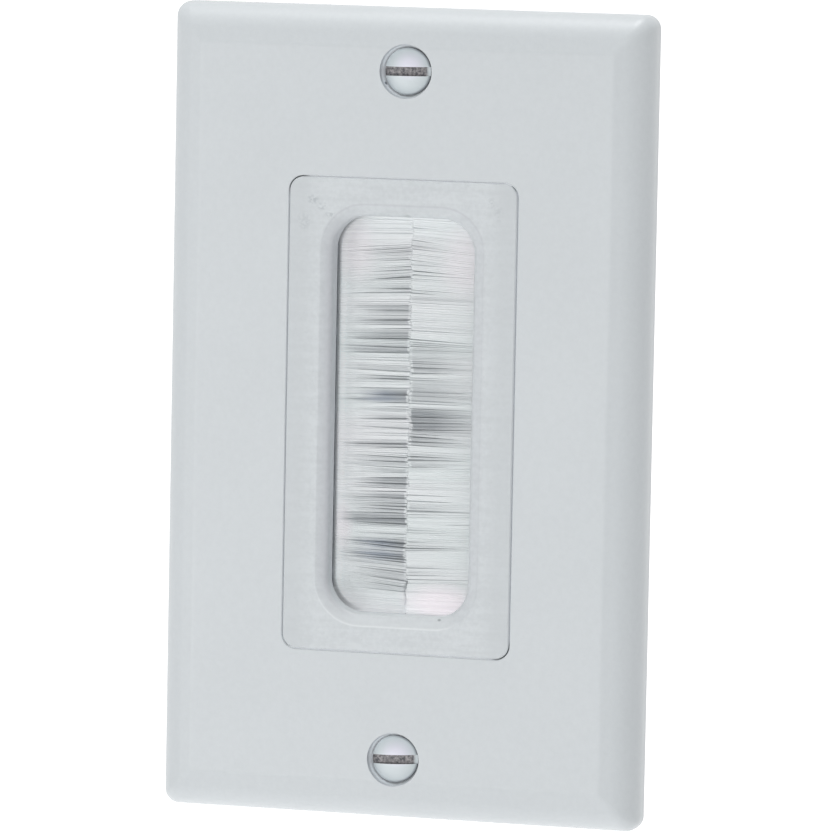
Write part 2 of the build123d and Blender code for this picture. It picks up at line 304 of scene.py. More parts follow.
def plateFinish():
    material, shade = newMaterial("platePlastic")
    where = shade.place()
    grain = shade.noise(where, plateLook["grainScale"], 2.0)
    fine = shade.noise(where, plateLook["fineScale"], 2.0)
    cloud = shade.noise(where, plateLook["cloudScale"], 1.0)
    mottle = (grain * 0.5 + fine * 0.2 + cloud * 0.3).ramp((0.35, 0), (0.65, 1))
    colour = shade.mix(mottle, plateLook["dark"], plateLook["light"])
    # Countersinks: painted light makes the wall on the left lighter, under a painted shade that darkens
    # the edge
    screwLow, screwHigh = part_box("upper_plate_screw")
    fromScrew = abs(shade.axis(where, "Z")) - (screwLow.z + screwHigh.z) / 2 / mm
    aside = shade.axis(where, "X")
    depth = shade.axis(where, "Y")
    away = shade.maths("SQRT", aside * aside + fromScrew * fromScrew)
    inSink = away < plateLook["sinkRadius"]
    deep = ((depth - plateLook["sinkAt"]) / plateLook["sinkDepth"]).ramp((0, 0), (1, 1))
    leftSide = ((plateLook["sinkShadeFrom"] - aside) / plateLook["sinkShadeReach"]).ramp((0, 0), (1, 1))
    colour = shade.mix(inSink * deep * leftSide, colour, plateLook["sinkPaintedLight"])
    nearFace = (depth - plateLook["faceAt"]) / plateLook["sinkEdgeDepth"]
    nearFace = nearFace.ramp((0, 0), (0.15, 0.8), (0.6, 0.5), (1, 0))
    colour = shade.mix(inSink * nearFace * leftSide, colour, plateLook["sinkEdgePaintedShade"])
    # Painted light and painted glow on the seam's walls, with painted shade at two corners
    openX, openZ = plateLook["openingHalf"]
    inOpening = (abs(aside) < openX) * (abs(shade.axis(where, "Z")) < openZ) * besideSeam(shade, where)
    tone, level = seamTone(shade, where)
    colour = shade.mix(inOpening, colour, tone)
    paintedGlow = inOpening * level
    colour = shade.mix(shade.spot(where, *plateLook["speckAt"]), colour, plateLook["speck"])
    height = grain * 0.7 + fine * 0.3
    finishMaterial(shade, {
        "Base Color": colour,
        "Roughness": plateLook["roughness"] + fine * 0.06,
        "Normal": shade.bump(height, 0.35, plateLook["grainDepth"]),
        "Emission Color": shade.mix(paintedGlow, black, plateLook["seamEndsPaintedLight"]),
        "Emission Strength": 1.0,
    })
    return material


# Insert: faintly streaked, with specks and scuffs. Places and lengths in mm.
insertLook = {
    "light": rgb(209, 214, 217),
    "dark": rgb(200, 205, 208),
    "grainScale": 1.6,
    "grainDepth": 0.05 * mm,
    "streakScale": 1.1,
    "streakStretch": (0.16, 1.0, 1.0),
    "roughness": 0.4,
    "faceHalf": (16.3, 33.0),
    "side": rgb(195, 200, 203),
    "sideFrom": 12.0,
    "sideReach": 2.5,
    "apertureHalf": (10.25, 28.0),
    "apertureRadius": 4.8,
    # Painted shade, painted light and a painted outline round the aperture's flare
    "shade": rgb(180, 181, 188),
    "shadeReach": 2.0,
    "lit": rgb(226, 230, 232),
    "litReach": 2.4,
    "litRightFrom": 0.8,
    "speck": rgb(178, 184, 188),
    "speckScale": 2.6,
    "speckStrength": 0.25,
    "blotchScale": 2.2,
    "mark": rgb(150, 156, 158),
    "smudges": (
        ((-13.1, -6.7, 30.1), (1.0, 3, 0.8), 0.9),
        ((-11.8, -6.7, 29.2), (0.9, 3, 0.7), 0.8),
        ((-10.5, -6.5, 28.1), (1.0, 3, 0.6), 0.7),
        ((-14.3, -6.7, 27.0), (1.3, 3, 1.6), 0.45),
        ((12.9, -6.7, 30.6), (0.7, 3, 0.9), 0.5),
        ((13.9, -6.7, 29.0), (0.8, 3, 1.6), 0.45),
    ),
    "marks": (
        ((6.3, -6.0, -28.3), (0.35, 2, 0.22), 0.9),
        ((0.5, -6.0, 28.2), (0.6, 2, 0.35), 0.35),
    ),
}


def apertureCorner():
    # Where the aperture's corner arcs have their middles
    halfX, halfZ = insertLook["apertureHalf"]
    return halfX - insertLook["apertureRadius"], halfZ - insertLook["apertureRadius"]


def insertFinish():
    material, shade = newMaterial("insertPlastic")
    where = shade.place()
    aside = shade.axis(where, "X")
    height = shade.axis(where, "Z")
    grain = shade.noise(where, insertLook["grainScale"], 2.0)
    specks = shade.noise(where, insertLook["speckScale"], 3.0).ramp((0.66, 0), (0.76, 1))
    drawnOut = shade.stretched(where, insertLook["streakStretch"])
    streaks = shade.noise(drawnOut, insertLook["streakScale"], 2.0)
    mottle = (grain * 0.5 + streaks * 0.5).ramp((0.38, 0), (0.62, 1))
    colour = shade.mix(mottle, insertLook["dark"], insertLook["light"])
    # Painted shade: darker towards the insert's sides
    outward = ((abs(aside) - insertLook["sideFrom"]) / insertLook["sideReach"]).ramp((0, 0), (1, 0.6))
    colour = shade.mix(outward, colour, insertLook["side"])
    # Round the aperture the flared edge has painted shade on the left and right, painted light at the
    # bottom and a painted dark outline at the top and faintly on the right
    cornerX, cornerZ = apertureCorner()
    overX = shade.maths("MAXIMUM", abs(aside) - cornerX, 0)
    overZ = shade.maths("MAXIMUM", abs(height) - cornerZ, 0)
    far = shade.maths("SQRT", overX * overX + overZ * overZ)
    fromEdge = far - insertLook["apertureRadius"]
    onLeft = aside < 0
    below = height < 0
    leftward = (overX / far) * onLeft
    rightward = (overX / far) * (1 - onLeft)
    downward = (overZ / far) * below
    upward = (overZ / far) * (1 - below)
    shaded = fromEdge / insertLook["shadeReach"]
    onLip = shaded.ramp((0, 0.3), (0.1, 0.45), (0.22, 0.5), (0.5, 0.3), (0.75, 0.15), (1, 0))
    colour = shade.mix(onLip * leftward, colour, insertLook["shade"])
    dimmed = shaded.ramp((0, 0.16), (0.8, 0.14), (1, 0))
    colour = shade.mix(dimmed * rightward, colour, insertLook["shade"])
    edged = fromEdge / insertLook["litReach"]
    lit = edged.ramp((0, 0.7), (0.15, 0.3), (0.6, 0.3), (0.7, 0.8), (0.8, 0))
    litRight = (downward - insertLook["litRightFrom"]) / (1 - insertLook["litRightFrom"])
    litSide = onLeft * downward + (1 - onLeft) * litRight.ramp((0, 0), (1, 1))
    colour = shade.mix(lit * litSide, colour, insertLook["lit"])
    paintedOutlineShade = edged.ramp((0.6, 0), (0.7, 0.45), (0.8, 0)) * (upward + rightward * 0.15)
    colour = shade.mix(paintedOutlineShade, colour, insertLook["shade"])
    colour = shade.mix(specks * insertLook["speckStrength"], colour, insertLook["speck"])
    blotch = shade.noise(where, insertLook["blotchScale"], 1.0).ramp((0.42, 0), (0.56, 1))
    colour = shade.mix(shade.spots(where, insertLook["smudges"]) * blotch, colour, insertLook["speck"])
    colour = shade.mix(shade.spots(where, insertLook["marks"]), colour, insertLook["mark"])
    # Painted light and painted glow on the seam's walls, with painted shade at two corners
    faceX, faceZ = insertLook["faceHalf"]
    outside = shade.maths("MAXIMUM", abs(aside) / faceX, abs(height) / faceZ)
    atSeam = (outside > 1) * besideSeam(shade, where)
    tone, level = seamTone(shade, where)
    colour = shade.mix(atSeam, colour, tone)
    paintedGlow = atSeam * level
    finishMaterial(shade, {
        "Base Color": colour,
        "Roughness": insertLook["roughness"] + grain * 0.1,
        "Normal": shade.bump(grain + specks * 0.5, 0.3, insertLook["grainDepth"]),
        "Emission Color": shade.mix(paintedGlow, black, plateLook["seamEndsPaintedLight"]),
        "Emission Strength": 1.0,
    })
    return material


# Retainer: plain white plastic
retainerLook = {
    "light": rgb(214, 218, 219),
    "dark": rgb(205, 210, 211),
    "grainScale": 1.2,
    "grainDepth": 0.05 * mm,
    "roughness": 0.4,
}


def retainerFinish():
    material, shade = newMaterial("retainerPlastic")
    where = shade.place()
    grain = shade.noise(where, retainerLook["grainScale"], 2.0)
    finishMaterial(shade, {
        "Base Color": shade.mix(grain, retainerLook["dark"], retainerLook["light"]),
        "Roughness": retainerLook["roughness"] + grain * 0.12,
        "Normal": shade.bump(grain, 0.25, retainerLook["grainDepth"]),
    })
    return material


# Steel: folded strip, drawn wire and plated screws. A small stretch draws the grain out along that axis.
steelLooks = {
    "channelSteel": {
        "light": rgb(196, 199, 202),
        "dark": rgb(150, 154, 158),
        "roughness": 0.38,
        "stretch": (0.3, 0.3, 2.0),
    },
    "wireSteel": {
        "light": rgb(186, 188, 190),
        "dark": rgb(140, 142, 146),
        "roughness": 0.3,
        "stretch": (3.0, 3.0, 0.1),
    },
    "zincScrew": {
        "light": rgb(205, 207, 208),
        "dark": rgb(160, 163, 166),
        "roughness": 0.28,
        "stretch": (2.0, 2.0, 2.0),
    },
    "clampScrew": {
        "light": rgb(196, 198, 200),
        "dark": rgb(150, 152, 156),
        "roughness": 0.3,
        "stretch": (2.0, 2.0, 2.0),
    },
}
steelGrain = {"drawnScale": 2.0, "spangleScale": 0.8, "depth": 0.03 * mm}


def steelFinish(name):
    look = steelLooks[name]
    material, shade = newMaterial(name)
    where = shade.place()
    drawn = shade.noise(shade.stretched(where, look["stretch"]), steelGrain["drawnScale"], 3.0)
    spangle = shade.noise(where, steelGrain["spangleScale"], 2.0)
    finishMaterial(shade, {
        "Base Color": shade.mix(drawn * 0.6 + spangle * 0.4, look["dark"], look["light"]),
        "Metallic": 1.0,
        "Roughness": look["roughness"] + drawn * 0.15,
        "Normal": shade.bump(drawn, 0.2, steelGrain["depth"]),
    })
    return material


# Plate screws: white paint on the oval head, bare steel in the slot, plated thread.
# Places and lengths in mm, turns of the slots in degrees.
screwLook = {
    "turns": {"upper_plate_screw": 0.8, "lower_plate_screw": 2.3},
    "paint": rgb(212, 220, 223),
    # Painted highlight above the slot and painted shade on the rim, in the colours below
    "paintedHighlight": rgb(228, 228, 240),
    "highlightAt": (0.4, 0.8),
    "highlightReach": (2.6, 40, 2.2),
    "roughness": 0.34,
    "grainScale": 1.5,
    "grainDepth": 0.05 * mm,
    "steelDark": rgb(80, 80, 84),
    "steelLight": rgb(158, 155, 156),
    "scratchScale": 2.1,
    "slotHalf": 0.64,
    "slotEnd": 2.6,
    "slotEndFade": 0.4,
    "slotEndDepth": 0.15,
    "rim": rgb(104, 108, 116),
    "rimAt": -5.31,
    "rimRadius": 3.02,
    "rimWidth": 0.3,
    "rimFrom": -2.0,
    "rimFade": 3.0,
    "threadAt": -4.2,
    "threadScale": 6.0,
    "threadDark": rgb(150, 152, 155),
    "threadLight": rgb(192, 194, 196),
}


def plateScrewFinish(nodeName):
    material, shade = newMaterial(nodeName + "Paint")
    where = shade.place()
    low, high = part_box(nodeName)
    axisZ = (low.z + high.z) / 2 / mm
    aside = shade.axis(where, "X")
    depth = shade.axis(where, "Y")
    above = shade.axis(where, "Z") - axisZ
    # The slot's right end is still painted
    fromSlot = above - aside * math.tan(math.radians(screwLook["turns"][nodeName]))
    inSlot = abs(fromSlot) < screwLook["slotHalf"]
    slotEnd = inSlot * ((aside - screwLook["slotEnd"]) / screwLook["slotEndFade"]).ramp((0, 0), (1, 0.85))
    slotEnd = slotEnd * (depth < screwLook["rimAt"] + screwLook["slotEndDepth"])
    bare = shade.maths("MAXIMUM", inSlot, depth > screwLook["rimAt"]) * (1 - slotEnd)
    scratch = shade.noise(where, screwLook["scratchScale"], 2.0, 0.7).ramp((0.38, 0), (0.64, 1))
    steel = shade.mix(scratch, screwLook["steelDark"], screwLook["steelLight"])
    drawn = shade.noise(where, screwLook["threadScale"], 2.0)
    plated = shade.mix(drawn, screwLook["threadDark"], screwLook["threadLight"])
    onThread = depth > screwLook["threadAt"]
    steel = shade.mix(onThread, steel, plated)
    # Paint with a painted highlight above the slot and a painted shade along the rim, which fades on the
    # left
    away = shade.maths("SQRT", aside * aside + above * above)
    rim = ((away - screwLook["rimRadius"]) / screwLook["rimWidth"]).ramp((0, 0), (1, 0.9))
    rim = rim * ((aside - screwLook["rimFrom"]) / screwLook["rimFade"]).ramp((0, 0), (1, 1))
    sheenX, sheenZ = screwLook["highlightAt"]
    paintedHighlight = shade.spot(where, (sheenX, 0, axisZ + sheenZ), screwLook["highlightReach"])
    paint = shade.mix(paintedHighlight, screwLook["paint"], screwLook["paintedHighlight"])
    paint = shade.mix(rim * (1 - inSlot), paint, screwLook["rim"])
    chalk = shade.noise(where, screwLook["grainScale"], 2.0)
    height = chalk * 0.3 + scratch * bare * (1 - onThread)
    finishMaterial(shade, {
        "Base Color": shade.mix(bare, paint, steel),
        "Metallic": bare * (0.55 + onThread * 0.45),
        "Roughness": screwLook["roughness"] + bare * 0.16 + scratch * bare * 0.1,
        "Normal": shade.bump(height, 0.25, screwLook["grainDepth"]),
    })
    return material


# Washers: red-brown pressed fibre
washerLook = {
    "light": rgb(160, 104, 78),
    "dark": rgb(118, 66, 46),
    "fibreScale": 3.0,
    "fibreStretch": (0.5, 3.0, 2.0),
    "fibreDepth": 0.06 * mm,
    "roughness": 0.8,
}


def washerFinish():
    material, shade = newMaterial("washerFibre")
    where = shade.stretched(shade.place(), washerLook["fibreStretch"])
    fibre = shade.noise(where, washerLook["fibreScale"], 4.0)
    finishMaterial(shade, {
        "Base Color": shade.mix(fibre, washerLook["dark"], washerLook["light"]),
        "Roughness": washerLook["roughness"],
        "Normal": shade.bump(fibre, 0.4, washerLook["fibreDepth"]),
    })
    return material


# Nylon filaments: bright on the faces of the brush, with painted shade greying them inside and in loose
# patches.
# Glows are painted glow standing in for the light that they carry, bodyGlow all over and each other one
# over its own reach.
# Places and lengths in mm.
nylonLook = {
    "bright": rgb(229, 234, 235),
    "warm": rgb(245, 240, 244),
    "blushScale": 0.15,
    "blushStretch": (0.2, 0.2, 1.0),
    # Painted shade: colours that inner and greyed strands are shaded towards
    "deep": rgb(152, 157, 161),
    "blue": rgb(150, 158, 169),
    "roughness": 0.42,
    # Painted glow: levels and reaches of the emission that stands in for carried light
    "bodyGlow": 0.075,
    "glow": 0.23,
    "glowReach": 4.0,
    "edgeReach": 0.5,
    "lipGlow": 0.075,
    "lipReach": 1.6,
    "endGlow": 0.1,
    "endReach": 0.8,
    "tipGlow": 0.02,
    "tipReach": 0.7,
    # Painted shadow under the aperture's left edge
    "shadow": rgb(92, 96, 100),
    "shadowReach": 0.4,
    "seenBehindLip": 0.45,
    "openBelow": -23.6,
    "pinkAreas": (
        ((8.0, 0, 21.5), (5.5, 40, 7.0), 0.6),
        ((5.0, 0, -26.5), (7.0, 40, 3.4), 1.0),
        ((-9.5, 0, -16.0), (1.8, 40, 5.0), 0.6),
        ((-8.0, 0, 23.0), (4.0, 40, 6.0), 0.6),
    ),
    "blueAreas": (
        ((-4.5, 0, 2.2), (4.2, 40, 1.5), 1.0),
        ((-4.5, 0, -19.4), (4.2, 40, 2.4), 1.0),
    ),
}


def nylonFinish():
    material, shade = newMaterial("bristleNylon")
    where = shade.place()
    aside = shade.axis(where, "X")
    height = shade.axis(where, "Z")
    strand = shade.node("ShaderNodeAttribute", {"attribute_name": "strandLight"}, None, "Fac")
    blush = shade.noise(shade.stretched(where, nylonLook["blushStretch"]), nylonLook["blushScale"], 1.0)
    blush = blush.ramp((0.4, 0), (0.7, 0.35))
    pink = shade.maths("MAXIMUM", blush, shade.spots(where, nylonLook["pinkAreas"]))
    white = shade.mix(pink, nylonLook["bright"], nylonLook["warm"])
    # Painted shade: the strandLight attribute greys strands towards the deep colour
    deep = shade.mix(shade.spots(where, nylonLook["blueAreas"]), nylonLook["deep"], nylonLook["blue"])
    colour = shade.mix(strand, deep, white)
    # Distance in from the aperture's left wall and ends, with that wall moved to where it is seen
    cornerX, cornerZ = apertureCorner()
    overX = -cornerX - nylonLook["seenBehindLip"] - aside
    overZ = abs(height) - cornerZ
    outX = shade.maths("MAXIMUM", overX, 0)
    outZ = shade.maths("MAXIMUM", overZ, 0)
    inner = shade.maths("MINIMUM", shade.maths("MAXIMUM", overX, overZ), 0)
    inside = insertLook["apertureRadius"] - shade.maths("SQRT", outX * outX + outZ * outZ) - inner
    leftward = outX / (outX + outZ + 0.001)
    # Painted glow stands in for the light that filaments carry into the shade of the frame, but not right
    # under its left edge
    underEdge = 1 - leftward * (1 - (inside / nylonLook["edgeReach"]).ramp((0.1, 0.1), (1, 1)))
    upward = ((height + cornerZ) / (2 * cornerZ)).ramp((0, 1), (0.1, 0.8), (0.9, 0.8), (1, 0.55))
    paintedGlow = (inside / nylonLook["glowReach"]).ramp((0.15, 1), (1, 0)) * underEdge * upward
    paintedGlow = paintedGlow * nylonLook["glow"]
    besideLip = inside / nylonLook["lipReach"]
    besideLip = besideLip.ramp((0.18, 0), (0.36, 0.55), (0.5, 1), (0.62, 0.85), (0.8, 0.3), (1, 0))
    paintedGlow = paintedGlow + besideLip * leftward * nylonLook["lipGlow"]
    atEnds = (inside / nylonLook["endReach"]).ramp((0, 1), (0.6, 0.7), (1, 0))
    atEnds = atEnds * (1 - leftward) * (overZ > 0)
    paintedGlow = paintedGlow + atEnds * upward * nylonLook["endGlow"]
    nearTip = (abs(aside) / nylonLook["tipReach"]).ramp((0.3, 1), (1, 0))
    nearTip = nearTip * (height > nylonLook["openBelow"])
    paintedGlow = paintedGlow + nylonLook["bodyGlow"] + nearTip * nylonLook["tipGlow"]
    # Painted shadow under the aperture's left edge
    shadow = (inside / nylonLook["shadowReach"]).ramp((0.1, 0.42), (1, 0))
    shadow = shadow * (leftward * 2).ramp((0.2, 0), (1, 1))
    colour = shade.mix(shadow, colour, nylonLook["shadow"])
    finishMaterial(shade, {
        "Base Color": colour,
        "Roughness": nylonLook["roughness"],
        "Emission Color": shade.mix(paintedGlow, black, colour),
        "Emission Strength": 1.0,
    })
    return material


zincPlate = steelFinish("zincScrew")
upperPaint = plateScrewFinish("upper_plate_screw")
lowerPaint = plateScrewFinish("lower_plate_screw")
nylon = nylonFinish()
finishes = {
    "wall_plate": plateFinish(),
    "insert_frame": insertFinish(),
    "rear_retainer": retainerFinish(),
    "brush_channel": steelFinish("channelSteel"),
    "core_wire": steelFinish("wireSteel"),
    "bristles": nylon,
    "upper_plate_screw": upperPaint,
    "lower_plate_screw": lowerPaint,
    "mounting_screw": zincPlate,
    "screw_washer": washerFinish(),
    "clamp_screw": steelFinish("clampScrew"),
}
for nodeName, node in nodes.items():
    ending = next(key for key in finishes if nodeName.endswith(key))
    node.material_slots[0].material = finishes[ending]
print("finishes set on", len(nodes), "nodes")


# Brushes. Lengths in mm. Strands run from the core wire to the middle, in layers from front to back.
# Depths are shares of half the thickness, with -1 in front, and each layer has a count and a light, which
# paints shade on the inner layers.
# Shares along a strand run from 0 at the channel's mouth to 1 at the tip.
brushSetup = {
    "depths": (-1.0, -0.84, -0.62, -0.34, 0.0, 0.34, 0.62, 0.84, 1.0),
    "counts": (520, 440, 340, 280, 240, 260, 300, 380, 440),
    "lights": (1.0, 0.98, 0.95, 0.9, 0.8, 0.9, 0.95, 0.98, 1.0),
    "radius": 0.09,
    "mouthThickness": 2.1,
    "tipThickness": 2.3,
    "rootPinch": 0.55,
    "endMargin": 1.5,
    "shares": (0.0, 0.2, 0.3, 0.66, 0.95, 0.97, 1.0),
    "laneSpread": (0.2, 0.8),
    "depthSpread": 0.025,
    "wander": 0.03,
    "lightSpread": (0.9, 1.0),
    # Painted light on the roots and on the tips of the strands
    "rootLight": 0.9,
    "rootUntil": 0.25,
    "tipLight": (0.6, 1.0),
    "tipFrom": 0.96,
    "tipOverlap": 0.12,
    "openGap": 0.1,
    "seamSeed": 5,
    "seamSteps": 300,
    "seamSwing": 0.16,
    "seamWaves": ((0.9, 3.0), (2.3, 7.0)),
    "seamJags": 0.08,
    "jagPitch": (4.0, 20.0),
    # Painted shade: how strongly the patches grey the front layers, and before which depth
    "greySpread": (0.7, 1.15),
    "greyBefore": -0.6,
    "patchStarts": (-0.12, 0.24),
    "patchEdge": 1.8,
    "partingDepth": 0.36,
    "partingCurve": 0.6,
    "partingRoot": 0.001,
    "rootSteps": (0.6, 1.7),
    "narrowest": 0.06,
    "latestStart": 0.6,
    "shallowest": 0.17,
    "finePartings": {"count": 36, "widest": 0.14, "deepest": 0.3},
    "rearPartings": {"count": 70, "widest": 0.6, "deepest": 0.9},
}

# Partings seen from the front: height at the root, height at the tip, width at the tip,
# share of the length where it opens, and depth, where 1 reaches partingDepth of the way to the middle
leftPartings = (
    (26.7, 26.9, 0.12, 0.2, 0.3), (25.9, 26.2, 0.28, 0.6, 0.4), (25.2, 25.5, 0.16, 0.15, 0.4),
    (21.9, 23.5, 0.14, 0.3, 0.4), (22.0, 22.9, 0.14, 0.55, 0.35), (21.0, 21.9, 0.22, 0.35, 0.45),
    (20.0, 20.8, 0.18, 0.4, 0.45), (19.4, 20.4, 0.25, 0.35, 0.7), (18.4, 19.4, 0.28, 0.3, 0.7),
    (17.3, 17.7, 0.2, 0.4, 0.5), (16.6, 17.3, 0.26, 0.0, 0.8), (15.3, 15.7, 0.16, 0.3, 0.3),
    (14.3, 14.6, 0.28, 0.25, 0.35), (12.9, 13.4, 0.28, 0.25, 0.7), (12.7, 12.6, 0.22, 0.0, 0.8),
    (11.6, 12.2, 0.3, 0.4, 0.65), (10.4, 10.75, 0.28, 0.15, 0.6), (9.4, 9.4, 0.22, 0.3, 0.6),
    (8.4, 8.8, 0.3, 0.1, 0.85), (7.4, 7.6, 0.15, 0.4, 0.3), (6.1, 6.0, 0.25, 0.0, 0.6),
    (5.6, 5.3, 0.3, 0.5, 0.7), (4.8, 5.0, 0.28, 0.2, 0.85), (3.8, 4.2, 0.15, 0.3, 0.4),
    (3.3, 3.6, 0.18, 0.4, 0.4), (2.3, 2.7, 0.28, 0.2, 0.5), (1.3, 1.6, 0.28, 0.4, 0.9),
    (0.7, 1.0, 0.28, 0.5, 1.0), (0.4, 0.2, 0.12, 0.0, 0.4), (-1.2, -0.6, 0.24, 0.3, 0.7),
    (-2.0, -2.1, 0.3, 0.4, 0.85), (-3.0, -2.7, 0.14, 0.2, 0.4), (-4.5, -4.2, 0.28, 0.1, 0.85),
    (-5.3, -4.7, 0.26, 0.3, 0.6), (-6.0, -6.15, 0.3, 0.25, 0.85), (-6.8, -6.75, 0.28, 0.25, 0.6),
    (-7.3, -7.25, 0.2, 0.6, 0.8), (-7.5, -7.55, 0.25, 0.2, 0.9), (-8.6, -8.3, 0.2, 0.4, 0.6),
    (-9.5, -9.0, 0.28, 0.2, 0.85), (-10.0, -9.9, 0.28, 0.2, 0.6), (-10.6, -10.55, 0.2, 0.1, 0.8),
    (-11.3, -10.9, 0.2, 0.1, 0.5), (-12.0, -12.0, 0.28, 0.2, 0.45), (-12.9, -12.6, 0.2, 0.3, 0.7),
    (-13.2, -13.15, 0.25, 0.3, 0.7), (-13.5, -13.6, 0.2, 0.2, 0.6), (-14.2, -14.0, 0.25, 0.1, 0.7),
    (-15.1, -14.75, 0.28, 0.2, 0.7), (-15.6, -15.6, 0.28, 0.25, 0.75), (-17.1, -17.0, 0.18, 0.2, 0.5),
    (-17.5, -17.5, 0.26, 0.3, 0.85), (-18.2, -18.35, 0.28, 0.35, 0.9), (-18.3, -18.95, 0.28, 0.3, 1.0),
    (-19.3, -19.5, 0.28, 0.2, 0.45), (-20.1, -20.2, 0.25, 0.2, 0.8), (-20.5, -20.6, 0.28, 0.25, 0.45),
    (-20.4, -20.95, 0.28, 0.4, 1.0), (-21.5, -22.15, 0.28, 0.2, 0.7), (-22.7, -23.6, 0.28, 0.2, 0.35),
    (-23.4, -24.5, 0.25, 0.2, 0.6), (-24.7, -25.15, 0.25, 0.15, 0.6), (-26.4, -26.5, 0.14, 0.2, 0.3),
    (-27.0, -27.2, 0.12, 0.3, 0.3),
)
rightPartings = (
    (26.0, 26.35, 0.25, 0.8, 0.5), (24.2, 24.9, 0.2, 0.75, 0.5), (23.6, 24.6, 0.22, 0.6, 0.5),
    (22.9, 23.9, 0.14, 0.5, 0.4), (22.6, 23.3, 0.14, 0.6, 0.4), (20.9, 21.7, 0.16, 0.5, 0.45),
    (20.6, 21.1, 0.14, 0.7, 0.4), (19.3, 20.3, 0.15, 0.5, 0.45), (19.4, 19.6, 0.12, 0.7, 0.4),
    (16.8, 17.1, 0.26, 0.6, 0.5), (15.85, 15.95, 0.15, 0.0, 0.55), (13.0, 13.1, 0.16, 0.4, 0.4),
    (11.7, 11.8, 0.14, 0.3, 0.3), (10.2, 10.6, 0.16, 0.05, 0.5), (9.6, 9.7, 0.2, 0.2, 0.4),
    (9.0, 8.9, 0.16, 0.1, 0.4), (7.6, 7.5, 0.2, 0.3, 0.3), (6.7, 6.5, 0.28, 0.35, 0.3),
    (6.1, 5.8, 0.3, 0.5, 0.5), (5.0, 4.9, 0.2, 0.3, 0.35), (3.3, 3.3, 0.28, 0.2, 0.22),
    (2.0, 2.0, 0.3, 0.5, 0.4), (1.6, 1.6, 0.15, 0.2, 0.4), (0.85, 0.75, 0.3, 0.1, 0.7),
    (-0.2, -0.3, 0.28, 0.1, 0.65), (-0.8, -1.2, 0.28, 0.2, 0.8), (-1.7, -2.2, 0.28, 0.1, 0.7),
    (-2.9, -2.8, 0.25, 0.3, 0.8), (-3.3, -3.1, 0.25, 0.3, 0.6), (-3.8, -3.9, 0.28, 0.1, 0.5),
    (-4.5, -4.3, 0.2, 0.1, 0.5), (-6.0, -5.9, 0.2, 0.5, 0.5), (-6.2, -6.5, 0.3, 0.1, 0.45),
    (-7.0, -7.4, 0.28, 0.3, 0.25), (-9.9, -10.3, 0.12, 0.2, 0.3), (-11.3, -11.4, 0.25, 0.2, 0.35),
    (-12.2, -12.3, 0.28, 0.2, 0.2), (-13.4, -13.6, 0.24, 0.1, 0.6), (-13.1, -13.2, 0.15, 0.6, 0.5),
    (-14.0, -14.5, 0.14, 0.2, 0.4), (-16.2, -16.3, 0.16, 0.6, 0.4), (-16.5, -16.8, 0.14, 0.3, 0.4),
    (-17.3, -17.4, 0.12, 0.3, 0.3), (-17.8, -18.0, 0.2, 0.6, 0.45), (-18.6, -18.9, 0.28, 0.2, 0.2),
    (-19.0, -19.6, 0.12, 0.2, 0.45), (-21.5, -21.7, 0.2, 0.1, 0.55), (-22.4, -22.8, 0.2, 0.3, 0.5),
    (-23.1, -23.4, 0.2, 0.1, 0.45), (-27.2, -27.2, 0.14, 0.6, 0.3),
)
# Loose patches, greyed with painted shade: height at the tips, half height, share where it starts,
# strength
leftPatches = (
    (23.2, 1.0, 0.3, 0.3), (22.0, 0.5, 0.4, 0.25), (20.5, 0.5, 0.4, 0.3), (19.5, 0.6, 0.3, 0.4),
    (17.8, 0.8, 0.35, 0.4), (14.8, 1.0, 0.2, 0.6), (13.2, 0.8, 0.2, 0.6), (11.1, 1.1, 0.1, 0.7),
    (9.2, 0.7, 0.1, 0.75), (6.5, 0.5, 0.05, 0.4), (5.0, 0.5, 0.15, 0.45), (2.6, 1.3, 0.1, 0.92),
    (0.5, 0.4, 0.2, 0.4), (-0.5, 0.5, 0.3, 0.55), (-2.0, 0.4, 0.4, 0.3), (-4.2, 0.7, 0.1, 0.6),
    (-6.8, 0.9, 0.15, 0.45), (-8.1, 0.4, 0.3, 0.45), (-9.7, 1.0, 0.15, 0.8), (-11.9, 0.9, 0.15, 0.7),
    (-13.3, 0.8, 0.2, 0.55), (-15.0, 1.2, 0.1, 0.9), (-17.0, 0.4, 0.2, 0.3), (-18.4, 0.9, 0.1, 0.88),
    (-19.5, 0.7, 0.1, 0.5), (-20.4, 0.8, 0.1, 0.8), (-21.4, 0.5, 0.15, 0.4), (-23.0, 1.3, 0.15, 0.45),
    (-24.8, 0.6, 0.3, 0.3), (-26.4, 2.8, -0.3, 0.14),
)
rightPatches = (
    (24.0, 0.9, 0.4, 0.3), (16.3, 0.6, 0.0, 0.25), (9.2, 1.6, -0.1, 0.35), (6.9, 1.4, -0.1, 0.55),
    (4.2, 1.2, -0.1, 0.4), (2.6, 1.2, -0.1, 0.55), (0.5, 0.8, -0.1, 0.6), (-0.7, 1.3, -0.2, 0.85),
    (-2.1, 0.9, -0.2, 0.75), (-3.7, 1.0, -0.1, 0.65), (-5.9, 0.6, 0.0, 0.4), (-7.2, 0.8, 0.05, 0.45),
    (-13.3, 0.8, 0.05, 0.35), (-16.2, 0.5, 0.5, 0.3), (-18.7, 0.9, 0.1, 0.3), (-21.6, 0.4, 0.4, 0.3),
    (-22.5, 0.5, 0.4, 0.35),
)
# The fade is the share of the length over which a patch comes in
sides = {
    "left": {"sign": -1, "seed": 11, "partings": leftPartings, "patches": leftPatches, "fade": 0.24},
    "right": {"sign": 1, "seed": 23, "partings": rightPartings, "patches": rightPatches, "fade": 0.7},
}


def between(value, places, results):
    # Straight-line reading of a rising table
    index = max(1, min(bisect_right(places, value), len(places) - 1))
    low, high = places[index - 1], places[index]
    share = (value - low) / (high - low) if high > low else 0
    return results[index - 1] + (results[index] - results[index - 1]) * share


